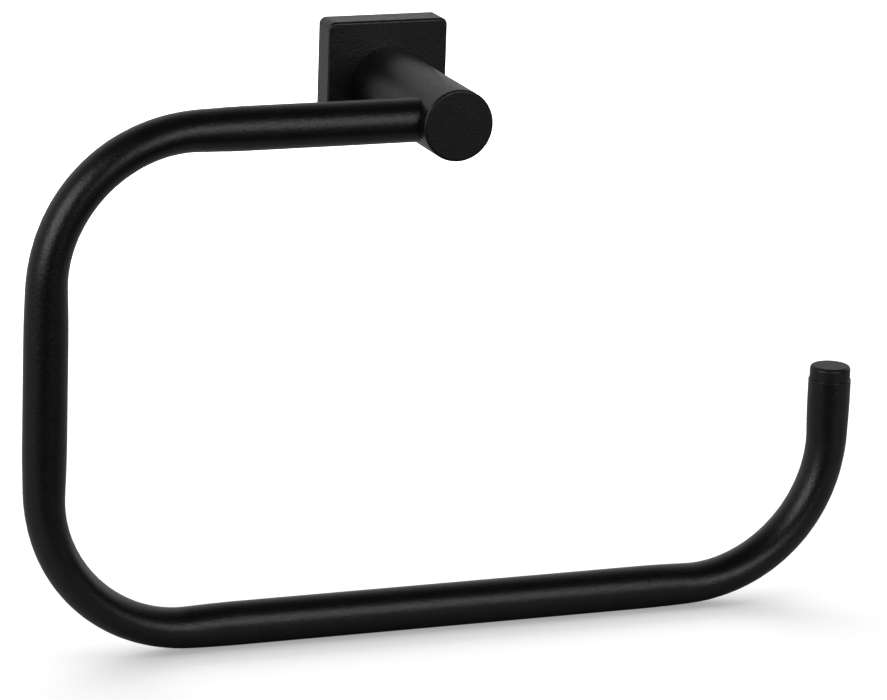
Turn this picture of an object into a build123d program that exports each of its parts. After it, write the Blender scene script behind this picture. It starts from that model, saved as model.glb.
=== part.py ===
from build123d import *
import os
from math import pi, sin

# Open towel ring on a square wall rosette: a bent tube held in a round post, with the fixings hidden inside.
# Millimetres. The origin is on the post's axis in the wall plane; +Y goes into the wall, +X right and +Z up.

# Ring tube
tube_diameter = 12.2
tube_wall = 1.1
bend_radius = 41.9          # on the tube's axis
bend_flattening = 1.35      # diameter lost in the plane of a bend
bend_widening = 0.6         # diameter gained across that plane
bend_run_out = 14.0         # the flattening comes and goes over this length on each side of a bend's ends
ring_width = 233.1          # between the axes of the two uprights
ring_height = 140.2         # between the axes of the top and bottom bars
left_reach = 112.8          # from the post's axis to the left upright's axis
free_leg = 16.4             # straight stretch between the last bend and the free end
tube_edge_round = 0.4       # on the rim of the free end

# Plug in the tube's free end
plug_head_step = 0.3        # how far the head's side stands in from the tube's side
plug_head_height = 3.7
plug_head_round = 1.0
plug_core_diameter = 8.6    # between the ribs
plug_rib_count = 3
plug_rib_width = 0.9
plug_rib_pitch = 2.0

# Post
post_diameter = 20.0
post_reach = 65.4           # from the wall to the front face
post_front_round = 0.7
post_back_chamfer = 0.3
ring_set_back = 10.0        # from the front face to the top bar's axis
socket_depth = 16.0         # of the ring's socket, from the post's left side

# Rosette
rosette_width = 35.3
rosette_depth = 8.8
rosette_corner_radius = 2.0
rosette_front_round = 0.8
rosette_wall = 2.6
rosette_web = 2.4           # front wall, between the post and the screw's washer
cavity_corner_radius = 1.0
lug_width = 9.0             # threaded lug inside the bottom wall
hook_width = 11.0           # hook inside the top wall
hook_thickness = 2.6
lug_back_gap = 0.5          # lug and hook stay this far from the wall

# Wall bracket
bracket_height = 21.8       # at its front
bracket_thickness = 5.0     # in the middle strip
bracket_wing_thickness = 3.0
bracket_strip_width = 12.0
bracket_dovetail = 1.8      # height lost at the wall side of the top and bottom edges
bracket_side_gap = 0.75     # between the bracket and the rosette's side walls
bracket_lug_gap = 0.3       # between the bracket and the lug or hook
bracket_opening_gap = 0.85  # round the post screw's washer
wall_hole_diameter = 4.5

# Set screw that locks the rosette on the bracket
grub_diameter = 4.0
grub_length = 6.0
grub_hex = 2.0              # across flats
grub_hex_depth = 2.4
grub_set_back = 3.2         # from the wall to the screw's axis
grub_tip_gap = 0.05

# Screw, washer and pin that hold the post on the rosette
post_thread = 6.0
post_screw_length = 16.0
post_screw_head_diameter = 10.5
post_screw_head_height = 3.3
post_screw_head_round = 2.3
post_screw_hex = 4.0        # across flats
post_screw_hex_depth = 2.1
washer_diameter = 11.8
washer_thickness = 1.6
washer_split = 1.0
washer_split_angle = 20.0   # of the split to the radius
dowel_diameter = 2.0
dowel_length = 6.0

# Spigot and set screw that hold the ring in the post
spigot_length = 21.0
ring_screw_length = 8.0     # threaded part
ring_screw_hex = 3.0        # across flats
ring_screw_hex_depth = 3.2
ring_screw_point_diameter = 4.0
ring_screw_point_length = 2.4

# Sections that shape the flattening
bend_sections = 8
run_out_sections = 4

# Clearances, each on one side
push_fit = 0.03             # plugs and pins pushed into bores
socket_fit = 0.05           # ring in its socket
thread_fit = 0.05           # plain cylinders that stand for threads
hole_fit = 0.2              # screws and points through plain holes
end_gap = 0.1               # at the blind ends of holes
screw_chamfer = 0.4

# Worked out from the sizes above
tube_radius = tube_diameter / 2
tube_bore = tube_diameter - 2 * tube_wall
post_radius = post_diameter / 2
ring_depth = post_reach - ring_set_back
socket_floor = socket_depth - post_radius
tube_start = socket_floor - end_gap
right_reach = ring_width - left_reach
free_end = free_leg + bend_radius - ring_height
plug_shank = plug_rib_count * plug_rib_pitch + plug_rib_width
free_run_out = min(bend_run_out, free_leg - plug_shank)
cavity_width = rosette_width - 2 * rosette_wall
cavity_depth = rosette_depth - rosette_web
bracket_width = cavity_width - 2 * bracket_side_gap
bracket_opening = washer_diameter + 2 * bracket_opening_gap
wall_hole_x = (bracket_width + bracket_opening) / 4
dowel_z = (washer_diameter + post_diameter) / 4
bore_diameter = post_thread + 2 * thread_fit
ring_screw_front = ring_depth - tube_radius - socket_fit

# Sketches on this plane have x to the right and y up, and are drawn out of the wall
wall = Plane(origin=(0, 0, 0), x_dir=(1, 0, 0), z_dir=(0, -1, 0))


def rod(diameter, near, far, x=0.0, z=0.0):
    """Cylinder square to the wall, between two distances from it."""
    return extrude(wall.offset(near) * Pos(x, z) * Circle(diameter / 2), far - near)


def block(width, height, near, far, x=0.0, z=0.0):
    """Box square to the wall, between two distances from it."""
    return extrude(wall.offset(near) * Pos(x, z) * Rectangle(width, height), far - near)


def hexagon(across_flats):
    """Outline of a hexagon socket."""
    return RegularPolygon(across_flats / 2, 6, major_radius=False)


def edge_profile(points, width):
    """Solid of the given width, centred on the post, from (distance from the wall, height) points."""
    outline = Polyline(*[(0, -distance, height) for distance, height in points], close=True)
    return extrude(make_face(outline), width / 2, both=True, dir=(1, 0, 0))


def dovetail_height(distance):
    """Half height of the bracket at a distance from the wall."""
    return bracket_height / 2 - bracket_dovetail * (1 - distance / bracket_thickness)


def ring_path():
    """Axis of the ring, from the socket round to the free end."""
    corners = [
        (tube_start, -ring_depth, 0),
        (-left_reach, -ring_depth, 0),
        (-left_reach, -ring_depth, -ring_height),
        (right_reach, -ring_depth, -ring_height),
        (right_reach, -ring_depth, free_end),
    ]
    return FilletPolyline(*corners, radius=bend_radius)


def flattening(depth, run_out):
    """Share of the flattening at a depth inside a bend's end, or outside it where the depth is negative."""
    return sin(pi / 4 * (1 + max(-1, min(1, depth / run_out)))) ** 2


def ring_section(edge, place, radius, flattened):
    """Section of the tube at a place on one edge of its path, from round (0) to fully flattened (1)."""
    plane = Plane(origin=edge.position_at(place), x_dir=(0, 1, 0), z_dir=edge.tangent_at(place))
    across = radius + bend_widening / 2 * flattened
    in_plane = radius - bend_flattening / 2 * flattened
    return plane * Ellipse(across, in_plane)


def flattened_bar(edge, radius, shares):
    """Bar along an edge through evenly spaced sections with the given shares of the flattening."""
    last = len(shares) - 1
    sections = [ring_section(edge, i / last, radius, share) for i, share in enumerate(shares)]
    return sweep(sections, path=edge, multisection=True)


def bend_bar(edge, radius):
    """Bar round one bend."""
    places = [i / bend_sections for i in range(bend_sections + 1)]
    depths = [min(place, 1 - place) * edge.length for place in places]
    return flattened_bar(edge, radius, [flattening(depth, bend_run_out) for depth in depths])


def straight_bar(edge, radius, start_run_out, end_run_out):
    """Bar along one straight stretch, round apart from its run-outs."""
    start = start_run_out / edge.length
    end = 1 - end_run_out / edge.length
    begin = Plane(origin=edge.position_at(start), x_dir=(0, 1, 0), z_dir=edge.tangent_at(start))
    bar = extrude(begin * Circle(radius), edge.length - start_run_out - end_run_out)
    fade = [flattening(-i / run_out_sections, 1) for i in range(run_out_sections + 1)]
    if start > 0:
        bar += flattened_bar(edge.trim(0, start), radius, fade)
    if end < 1:
        bar += flattened_bar(edge.trim(end, 1), radius, fade[::-1])
    return bar


def ring_bar(radius):
    """Solid bar along the ring's path, flattened at its bends as a bent tube is."""
    path = ring_path()
    top, bend_1, upright, bend_2, bottom, bend_3, leg = path.edges().sort_by(path)
    bar = straight_bar(top, radius, 0, bend_run_out)
    bar += straight_bar(upright, radius, bend_run_out, bend_run_out)
    bar += straight_bar(bottom, radius, bend_run_out, bend_run_out)
    bar += straight_bar(leg, radius, free_run_out, 0)
    for bend in (bend_1, bend_2, bend_3):
        bar += bend_bar(bend, radius)
    return bar


def make_ring_tube():
    tube = ring_bar(tube_radius)
    rim = tube.faces().filter_by(Plane.XY).sort_by(Axis.Z)[-1]
    tube = fillet(rim.edges(), tube_edge_round)
    tube -= ring_bar(tube_bore / 2)
    point_hole = ring_screw_point_diameter + 2 * hole_fit
    return tube - rod(point_hole, ring_screw_front, ring_depth)


def make_ring_end_plug():
    end = Plane(origin=(right_reach, -ring_depth, free_end))
    head = extrude(end * Circle(tube_radius - plug_head_step), plug_head_height)
    head = fillet(head.edges().sort_by(Axis.Z)[-1], plug_head_round)
    plug = head + extrude(end * Circle(plug_core_diameter / 2), -plug_shank)
    for rib in range(plug_rib_count):
        top = end.offset(-(rib + 1) * plug_rib_pitch)
        plug += extrude(top * Circle(tube_bore / 2 - push_fit), -plug_rib_width)
    return plug


def make_ring_spigot():
    end = Plane(origin=(tube_start, -ring_depth, 0), x_dir=(0, 1, 0), z_dir=(-1, 0, 0))
    spigot = extrude(end * Circle(tube_bore / 2 - push_fit), spigot_length)
    spigot = chamfer(spigot.edges().filter_by(GeomType.CIRCLE), screw_chamfer)
    point_hole = ring_screw_point_diameter + 2 * hole_fit
    point_end = ring_screw_front + ring_screw_point_length + end_gap
    return spigot - rod(point_hole, ring_screw_front, point_end)


def make_ring_set_screw():
    back = ring_screw_front - ring_screw_length
    thread = rod(post_thread, back, ring_screw_front)
    thread = chamfer(thread.edges().filter_by(GeomType.CIRCLE), screw_chamfer)
    point_end = ring_screw_front + ring_screw_point_length
    screw = thread + rod(ring_screw_point_diameter, ring_screw_front, point_end)
    return screw - extrude(wall.offset(back) * hexagon(ring_screw_hex), ring_screw_hex_depth)


def make_post():
    post = rod(post_diameter, rosette_depth, post_reach)
    post = fillet(post.edges().sort_by(Axis.Y)[0], post_front_round)
    post = chamfer(post.edges().sort_by(Axis.Y)[-1], post_back_chamfer)
    mouth = Plane(origin=(-post_radius, -ring_depth, 0), x_dir=(0, 1, 0), z_dir=(1, 0, 0))
    post -= extrude(mouth * Circle(tube_radius + socket_fit), socket_depth)
    post -= rod(bore_diameter, rosette_depth, ring_depth)
    dowel_end = cavity_depth + dowel_length + 2 * end_gap
    return post - rod(dowel_diameter + 2 * push_fit, rosette_depth, dowel_end, z=dowel_z)


def make_post_screw():
    seat = cavity_depth - washer_thickness
    head_end = seat - post_screw_head_height
    head = rod(post_screw_head_diameter, head_end, seat)
    head = fillet(head.edges().sort_by(Axis.Y)[-1], post_screw_head_round)
    shank = rod(post_thread, seat, seat + post_screw_length)
    shank = chamfer(shank.edges().sort_by(Axis.Y)[0], screw_chamfer)
    screw = head + shank
    return screw - extrude(wall.offset(head_end) * hexagon(post_screw_hex), post_screw_hex_depth)


def make_post_lock_washer():
    seat = cavity_depth - washer_thickness
    washer = rod(washer_diameter, seat, cavity_depth)
    washer -= rod(post_thread + 2 * hole_fit, seat, cavity_depth)
    slot = Rectangle(washer_split, washer_diameter)
    split = Rot(0, 0, washer_split_angle) * Pos(0, washer_diameter / 2) * slot
    return washer - extrude(wall.offset(seat) * split, washer_thickness)


def make_post_dowel_pin():
    near = cavity_depth + end_gap
    pin = rod(dowel_diameter, near, near + dowel_length, z=dowel_z)
    return chamfer(pin.edges().filter_by(GeomType.CIRCLE), dowel_diameter / 8)


def make_rosette():
    outline = RectangleRounded(rosette_width, rosette_width, rosette_corner_radius)
    body = extrude(wall * outline, rosette_depth)
    body = fillet(body.faces().sort_by(Axis.Y)[0].edges(), rosette_front_round)
    cavity = RectangleRounded(cavity_width, cavity_width, cavity_corner_radius)
    body -= extrude(wall * cavity, cavity_depth)
    body += rosette_lug() + rosette_hook()
    thread = Plane(origin=(0, -grub_set_back, -rosette_width / 2)) * Circle(grub_diameter / 2 + thread_fit)
    body -= extrude(thread, rosette_width / 2 - bracket_height / 2)
    body -= rod(post_thread + 2 * hole_fit, cavity_depth, rosette_depth)
    return body - rod(dowel_diameter + 2 * push_fit, cavity_depth, rosette_depth, z=dowel_z)


def rosette_lug():
    """Lug inside the bottom wall, as long as the set screw's thread needs."""
    top = -bracket_height / 2 - bracket_lug_gap
    height = cavity_width / 2 + top
    return block(lug_width, height, lug_back_gap, cavity_depth, z=top - height / 2)


def rosette_hook():
    """Hook inside the top wall, with a face that lies behind the bracket's dovetail."""
    far = lug_back_gap + hook_thickness
    points = [
        (lug_back_gap, dovetail_height(lug_back_gap) + bracket_lug_gap),
        (far, dovetail_height(far) + bracket_lug_gap),
        (far, cavity_width / 2),
        (lug_back_gap, cavity_width / 2),
    ]
    return edge_profile(points, hook_width)


def make_rosette_grub_screw():
    tip = -dovetail_height(grub_set_back) - grub_tip_gap
    outer = Plane(origin=(0, -grub_set_back, tip - grub_length))
    screw = extrude(outer * Circle(grub_diameter / 2), grub_length - grub_diameter / 2)
    screw = chamfer(screw.edges().sort_by(Axis.Z)[0], screw_chamfer)
    cone = Cone(grub_diameter / 2, 0, grub_diameter / 2, align=(Align.CENTER, Align.CENTER, Align.MAX))
    screw += Pos(0, -grub_set_back, tip) * cone
    return screw - extrude(outer * hexagon(grub_hex), grub_hex_depth)


def make_wall_bracket():
    points = [
        (0, dovetail_height(0)),
        (bracket_thickness, dovetail_height(bracket_thickness)),
        (bracket_thickness, -dovetail_height(bracket_thickness)),
        (0, -dovetail_height(0)),
    ]
    bracket = edge_profile(points, bracket_width)
    wing_width = (bracket_width - bracket_strip_width) / 2
    for side in (-1, 1):
        wing_x = side * (bracket_strip_width + wing_width) / 2
        bracket -= block(wing_width, bracket_height, bracket_wing_thickness, bracket_thickness, x=wing_x)
        bracket -= rod(wall_hole_diameter, 0, bracket_wing_thickness, x=side * wall_hole_x)
    return bracket - rod(bracket_opening, 0, bracket_thickness)


pieces = {
    "wall_bracket": make_wall_bracket,
    "rosette": make_rosette,
    "rosette_grub_screw": make_rosette_grub_screw,
    "post": make_post,
    "post_screw": make_post_screw,
    "post_lock_washer": make_post_lock_washer,
    "post_dowel_pin": make_post_dowel_pin,
    "ring_tube": make_ring_tube,
    "ring_spigot": make_ring_spigot,
    "ring_set_screw": make_ring_set_screw,
    "ring_end_plug": make_ring_end_plug,
}

os.makedirs("parts", exist_ok=True)
for name, make in pieces.items():
    export_step(make(), f"parts/{name}.step")
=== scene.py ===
from math import cos, pi, radians, sin

import bpy
from mathutils import Matrix, Vector


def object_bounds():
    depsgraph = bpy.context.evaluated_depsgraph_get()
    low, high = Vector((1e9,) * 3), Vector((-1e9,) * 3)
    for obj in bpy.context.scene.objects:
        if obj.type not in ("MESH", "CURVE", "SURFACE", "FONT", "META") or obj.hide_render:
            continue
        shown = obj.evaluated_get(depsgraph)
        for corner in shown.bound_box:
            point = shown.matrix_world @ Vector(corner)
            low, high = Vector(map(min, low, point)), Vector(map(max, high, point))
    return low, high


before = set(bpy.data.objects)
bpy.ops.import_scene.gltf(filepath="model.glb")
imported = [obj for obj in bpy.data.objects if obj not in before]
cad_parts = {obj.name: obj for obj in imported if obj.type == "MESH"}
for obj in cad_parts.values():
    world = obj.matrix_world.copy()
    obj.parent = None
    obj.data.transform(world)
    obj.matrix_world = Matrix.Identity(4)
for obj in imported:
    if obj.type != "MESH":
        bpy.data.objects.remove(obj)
cad_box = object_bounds()

# Open towel ring in a satin black coat, standing on its bottom bar on a white floor. Metres and degrees.

MM = 0.001

# Camera, fitted to the photograph's outline
PHOTO_WIDTH_PX = 887
FOCAL_LENGTH_PX = 4925.25
SENSOR_WIDTH_MM = 36.0
CAMERA_PLACE = Vector((-0.475849, -1.278269, 0.297371))
CAMERA_YAW = -21.326
CAMERA_PITCH = -15.464
CAMERA_ROLL = -1.991

# Black coat of the tube, the post and the rosette: range of colour and roughness, clouds and grain
COAT_COLOURS = ((0.0012, 0.0012, 0.0013), (0.0028, 0.0027, 0.0027))
COAT_ROUGHNESS = (0.3, 0.42)
COAT_CLOUD = 6 * MM
COAT_GRAIN = 0.6 * MM
COAT_GRAIN_HEIGHT = 0.075 * MM

# Black plastic of the end plug
PLASTIC_COLOURS = ((0.0014, 0.0014, 0.0014), (0.0028, 0.0028, 0.0028))
PLASTIC_ROUGHNESS = (0.43, 0.49)
PLASTIC_GRAIN = 0.3 * MM
PLASTIC_GRAIN_HEIGHT = 0.008 * MM

# Cast zinc of the wall bracket
CAST_COLOURS = ((0.42, 0.43, 0.44), (0.6, 0.61, 0.62))
CAST_ROUGHNESS = (0.42, 0.55)
CAST_CLOUD = 1.5 * MM
CAST_CLOUD_HEIGHT = 0.05 * MM

# Zinc-plated steel of the screws, the washer, the pin and the spigot
PLATED_COLOURS = ((0.5, 0.52, 0.55), (0.66, 0.67, 0.68))
PLATED_ROUGHNESS = (0.26, 0.36)
PLATED_CLOUD = 0.8 * MM
PLATED_CLOUD_HEIGHT = 0.01 * MM

# Noise of the finishes: its levels of detail, and the stretch of its values that a finish runs over
BLACK_DETAIL = 2
ZINC_DETAIL = 4
NOISE_STRETCH = (0.3, 0.7)

# Floor: a glow that grows with the distance from the ring whitens it for the camera and leaves the shadow
FLOOR_Z = cad_box[0][2]
FLOOR_SIZE = 12.0
FLOOR_TONE = 0.9
GLOW_STRETCH = (0.2, 0.5)
GLOW = (0.34, 1.0)

# Floor in reflections: dimmer, from the wall plane to a distance behind it
DIM_FLOOR_STRETCH = (0, 0.3)
DIM_FLOOR_TONE = (0.32, 0.38)

# Surroundings in reflections: a dim white wall behind the ring, darker at the top and at the upper left
WALL_STRETCH = (-0.1, 0.5)
WALL_TONE = (0, 0.6)
TOP_STRETCH = (0.5, 0.9)
TOP_SHARE = (1, 0.1)
UPPER_LEFT_STRETCH = (0.6, 1)
UPPER_LEFT_SHARE = (1, 0.55)

# Light of the surroundings on dull surfaces, from all sides
AMBIENT = 0.3

# Lamps: aimed at a point in the ring, with azimuth 0 at the front and positive to the right
MIDDLE = Vector((0, -0.05, -0.07))
RING_LAMPS = (
    dict(name="left_box", azimuth=-70, elevation=22, distance=1.2, width=0.75, height=0.8, brightness=3.0),
    dict(name="front_box", azimuth=15, elevation=23, distance=1.5, width=0.85, height=0.9, brightness=2.3),
    dict(name="right_box", azimuth=110, elevation=12, distance=1.3, width=0.8, height=0.8, brightness=0.5),
)
FLOOR_LAMPS = (
    dict(name="top_box", azimuth=180, elevation=80, distance=1.3, width=1.6, height=1.6, brightness=0.9),
    dict(name="back_box", azimuth=180, elevation=29, distance=1.3, width=1.6, height=0.9, brightness=2.95),
)

# Dark card in front of the ring, just above the floor
CARD_X = (-1.0, 0.16)
CARD_Y = (-2.4, -0.13)
CARD_LIFT = 2 * MM
CARD_TONE = 0.01


def new_material(name, shader_type="ShaderNodeBsdfPrincipled"):
    """Material that holds only a shader and the output it feeds."""
    material = bpy.data.materials.new(name)
    material.use_nodes = True
    tree = material.node_tree
    tree.nodes.clear()
    output = tree.nodes.new("ShaderNodeOutputMaterial")
    shader = tree.nodes.new(shader_type)
    tree.links.new(shader.outputs[0], output.inputs["Surface"])
    return material, shader


def noise(tree, feature, detail):
    """Noise in the object's own space, with features of about the given size."""
    coordinates = tree.nodes.new("ShaderNodeTexCoord")
    texture = tree.nodes.new("ShaderNodeTexNoise")
    texture.inputs["Scale"].default_value = 1 / feature
    texture.inputs["Detail"].default_value = detail
    tree.links.new(coordinates.outputs["Object"], texture.inputs["Vector"])
    return texture.outputs["Fac"]


def map_range(tree, value, stretch, ends):
    """Runs from one end to the other as a value runs over a stretch, and stays at the ends beyond it."""
    node = tree.nodes.new("ShaderNodeMapRange")
    for name, number in zip(("From Min", "From Max", "To Min", "To Max"), (*stretch, *ends)):
        node.inputs[name].default_value = number
    tree.links.new(value, node.inputs["Value"])
    return node.outputs["Result"]


def tint(tree, value, colours):
    """Runs from a dark to a light colour with a noise."""
    ramp = tree.nodes.new("ShaderNodeValToRGB")
    for element, position, colour in zip(ramp.color_ramp.elements, NOISE_STRETCH, colours):
        element.position = position
        element.color = (*colour, 1)
    tree.links.new(value, ramp.inputs["Fac"])
    return ramp.outputs["Color"]


def combine(tree, operation, first, second):
    """Output of a math node on two sockets or numbers."""
    node = tree.nodes.new("ShaderNodeMath")
    node.operation = operation
    for socket, value in zip(node.inputs, (first, second)):
        if isinstance(value, (int, float)):
            socket.default_value = value
        else:
            tree.links.new(value, socket)
    return node.outputs[0]


def cover(tree, shader, cloud, grain, colours, roughness, height):
    """Colours a shader by one noise, and roughens and raises it by another."""
    tree.links.new(tint(tree, cloud, colours), shader.inputs["Base Color"])
    tree.links.new(map_range(tree, grain, NOISE_STRETCH, roughness), shader.inputs["Roughness"])
    bump = tree.nodes.new("ShaderNodeBump")
    bump.inputs["Distance"].default_value = height
    tree.links.new(grain, bump.inputs["Height"])
    tree.links.new(bump.outputs["Normal"], shader.inputs["Normal"])


def black_coat():
    """Satin black coat with a fine grain."""
    material, shader = new_material("black_coat")
    tree = material.node_tree
    cloud = noise(tree, COAT_CLOUD, BLACK_DETAIL)
    grain = noise(tree, COAT_GRAIN, BLACK_DETAIL)
    cover(tree, shader, cloud, grain, COAT_COLOURS, COAT_ROUGHNESS, COAT_GRAIN_HEIGHT)
    return material


def black_plastic():
    """Moulded black plastic, duller than the coat and with a finer grain."""
    material, shader = new_material("black_plastic")
    tree = material.node_tree
    grain = noise(tree, PLASTIC_GRAIN, BLACK_DETAIL)
    cover(tree, shader, grain, grain, PLASTIC_COLOURS, PLASTIC_ROUGHNESS, PLASTIC_GRAIN_HEIGHT)
    return material


def zinc(name, feature, colours, roughness, height):
    """Bare or plated zinc, clouded and slightly uneven."""
    material, shader = new_material(name)
    tree = material.node_tree
    cloud = noise(tree, feature, ZINC_DETAIL)
    cover(tree, shader, cloud, cloud, colours, roughness, height)
    shader.inputs["Metallic"].default_value = 1.0
    return material


def dress_nodes():
    """Gives every piece of the frame its finish. The pieces that aren't named are of plated steel."""
    coat = black_coat()
    plastic = black_plastic()
    cast = zinc("bracket_zinc", CAST_CLOUD, CAST_COLOURS, CAST_ROUGHNESS, CAST_CLOUD_HEIGHT)
    plated = zinc("zinc_plated_steel", PLATED_CLOUD, PLATED_COLOURS, PLATED_ROUGHNESS, PLATED_CLOUD_HEIGHT)
    finishes = {
        "ring_tube": coat,
        "post": coat,
        "rosette": coat,
        "ring_end_plug": plastic,
        "wall_bracket": cast,
    }
    for name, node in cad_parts.items():
        node.data.materials.clear()
        node.data.materials.append(finishes.get(name, plated))


def axes_of(tree, coordinates):
    """Coordinates split into X, Y and Z."""
    split = tree.nodes.new("ShaderNodeSeparateXYZ")
    tree.links.new(coordinates, split.inputs["Vector"])
    return split.outputs


def seen(tree, path):
    """One for what the camera sees, also through clear pieces, and zero otherwise."""
    return combine(tree, "MAXIMUM", path.outputs["Is Camera Ray"], path.outputs["Is Transmission Ray"])


def make_floor():
    """White floor under the bottom bar, which keeps the ring's shadow and is dimmer in reflections."""
    bpy.ops.mesh.primitive_plane_add(size=FLOOR_SIZE, location=(0, 0, FLOOR_Z))
    floor = bpy.context.object
    floor.name = "floor"
    material, both = new_material("floor_white", "ShaderNodeAddShader")
    tree = material.node_tree
    path = tree.nodes.new("ShaderNodeLightPath")
    coordinates = tree.nodes.new("ShaderNodeTexCoord").outputs["Object"]

    paint = tree.nodes.new("ShaderNodeBsdfDiffuse")
    losses = [FLOOR_TONE - tone for tone in DIM_FLOOR_TONE]
    loss = map_range(tree, axes_of(tree, coordinates)["Y"], DIM_FLOOR_STRETCH, losses)
    loss_in_gloss = combine(tree, "MULTIPLY", loss, path.outputs["Is Glossy Ray"])
    tree.links.new(combine(tree, "SUBTRACT", FLOOR_TONE, loss_in_gloss), paint.inputs["Color"])

    glow = tree.nodes.new("ShaderNodeEmission")
    distance = tree.nodes.new("ShaderNodeVectorMath")
    distance.operation = "DISTANCE"
    distance.inputs[1].default_value = (MIDDLE.x, MIDDLE.y, 0)
    tree.links.new(coordinates, distance.inputs[0])
    level = map_range(tree, distance.outputs["Value"], GLOW_STRETCH, GLOW)
    tree.links.new(combine(tree, "MULTIPLY", level, seen(tree, path)), glow.inputs["Strength"])

    tree.links.new(paint.outputs["BSDF"], both.inputs[0])
    tree.links.new(glow.outputs["Emission"], both.inputs[1])
    floor.data.materials.append(material)
    return floor


def make_world():
    """Surroundings: white to the camera, a dim wall in reflections and a little light for dull surfaces."""
    world = bpy.data.worlds.new("studio")
    bpy.context.scene.world = world
    world.use_nodes = True
    tree = world.node_tree
    background = tree.nodes["Background"]
    background.inputs["Color"].default_value = (1, 1, 1, 1)
    path = tree.nodes.new("ShaderNodeLightPath")
    glossy = path.outputs["Is Glossy Ray"]
    axes = axes_of(tree, tree.nodes.new("ShaderNodeTexCoord").outputs["Generated"])

    back = map_range(tree, axes["Y"], WALL_STRETCH, WALL_TONE)
    top = map_range(tree, axes["Z"], TOP_STRETCH, TOP_SHARE)
    left_and_up = combine(tree, "SUBTRACT", axes["Z"], axes["X"])
    upper_left = map_range(tree, left_and_up, UPPER_LEFT_STRETCH, UPPER_LEFT_SHARE)
    wall = combine(tree, "MULTIPLY", combine(tree, "MULTIPLY", back, top), upper_left)

    in_gloss = combine(tree, "MULTIPLY", wall, glossy)
    dull = combine(tree, "SUBTRACT", 1, glossy)
    on_dull = combine(tree, "MULTIPLY", dull, AMBIENT)
    unseen = combine(tree, "ADD", in_gloss, on_dull)
    tree.links.new(combine(tree, "MAXIMUM", seen(tree, path), unseen), background.inputs["Strength"])


def direction(azimuth, elevation):
    """Unit vector: azimuth 0 is the front, positive to the right."""
    around, up = radians(azimuth), radians(elevation)
    return Vector((sin(around) * cos(up), -cos(around) * cos(up), sin(up)))


def soft_box(name, azimuth, elevation, distance, width, height, brightness):
    """Rectangular lamp aimed at the ring's middle; a brightness of 1 is white."""
    lamp = bpy.data.lights.new(name, "AREA")
    lamp.shape = "RECTANGLE"
    lamp.size = width
    lamp.size_y = height
    lamp.energy = brightness * pi * width * height
    box = bpy.data.objects.new(name, lamp)
    out = direction(azimuth, elevation)
    box.location = MIDDLE + distance * out
    box.rotation_euler = (-out).to_track_quat("-Z", "Y").to_euler()
    box.visible_camera = False
    bpy.context.scene.collection.objects.link(box)
    return box


def receivers(name, floor, state):
    """Group for a lamp's light, with the floor as all that it reaches or as what it leaves out."""
    group = bpy.data.collections.new(name)
    group.objects.link(floor)
    group.collection_objects[0].light_linking.link_state = state
    return group


def dark_card():
    """Dark card that only reflections show, as a photographer lays one in front of a black object."""
    left, right = CARD_X
    front, rear = CARD_Y
    z = FLOOR_Z + CARD_LIFT
    corners = [(left, front, z), (right, front, z), (right, rear, z), (left, rear, z)]
    mesh = bpy.data.meshes.new("front_card")
    mesh.from_pydata(corners, [], [(0, 1, 2, 3)])
    card = bpy.data.objects.new("front_card", mesh)
    material, glow = new_material("front_card", "ShaderNodeEmission")
    glow.inputs["Strength"].default_value = CARD_TONE
    mesh.materials.append(material)
    card.visible_camera = False
    card.visible_diffuse = False
    card.visible_shadow = False
    bpy.context.scene.collection.objects.link(card)


def light(floor):
    """Three lamps shape the coat. Two others, above and behind, light the floor and cast the shadow."""
    make_world()
    on_ring = receivers("on_ring", floor, "EXCLUDE")
    on_floor = receivers("on_floor", floor, "INCLUDE")
    for lamps, group in ((RING_LAMPS, on_ring), (FLOOR_LAMPS, on_floor)):
        for settings in lamps:
            soft_box(**settings).light_linking.receiver_collection = group
    dark_card()


def make_camera():
    """Camera at the photograph's viewing angle, from its yaw, pitch and roll."""
    yaw, pitch, roll = radians(CAMERA_YAW), radians(CAMERA_PITCH), radians(CAMERA_ROLL)
    forward = Vector((-sin(yaw) * cos(pitch), cos(yaw) * cos(pitch), sin(pitch)))
    right = forward.cross(Vector((0, 0, 1))).normalized()
    down = forward.cross(right)
    image_right = cos(roll) * right + sin(roll) * down
    image_up = sin(roll) * right - cos(roll) * down
    data = bpy.data.cameras.new("camera")
    data.sensor_width = SENSOR_WIDTH_MM
    data.lens = FOCAL_LENGTH_PX / PHOTO_WIDTH_PX * SENSOR_WIDTH_MM
    camera = bpy.data.objects.new("camera", data)
    turn = Matrix((image_right, image_up, -forward)).transposed()
    camera.matrix_world = Matrix.Translation(CAMERA_PLACE) @ turn.to_4x4()
    bpy.context.scene.collection.objects.link(camera)
    bpy.context.scene.camera = camera


dress_nodes()
light(make_floor())
make_camera()
bpy.context.scene.view_settings.view_transform = "Standard"
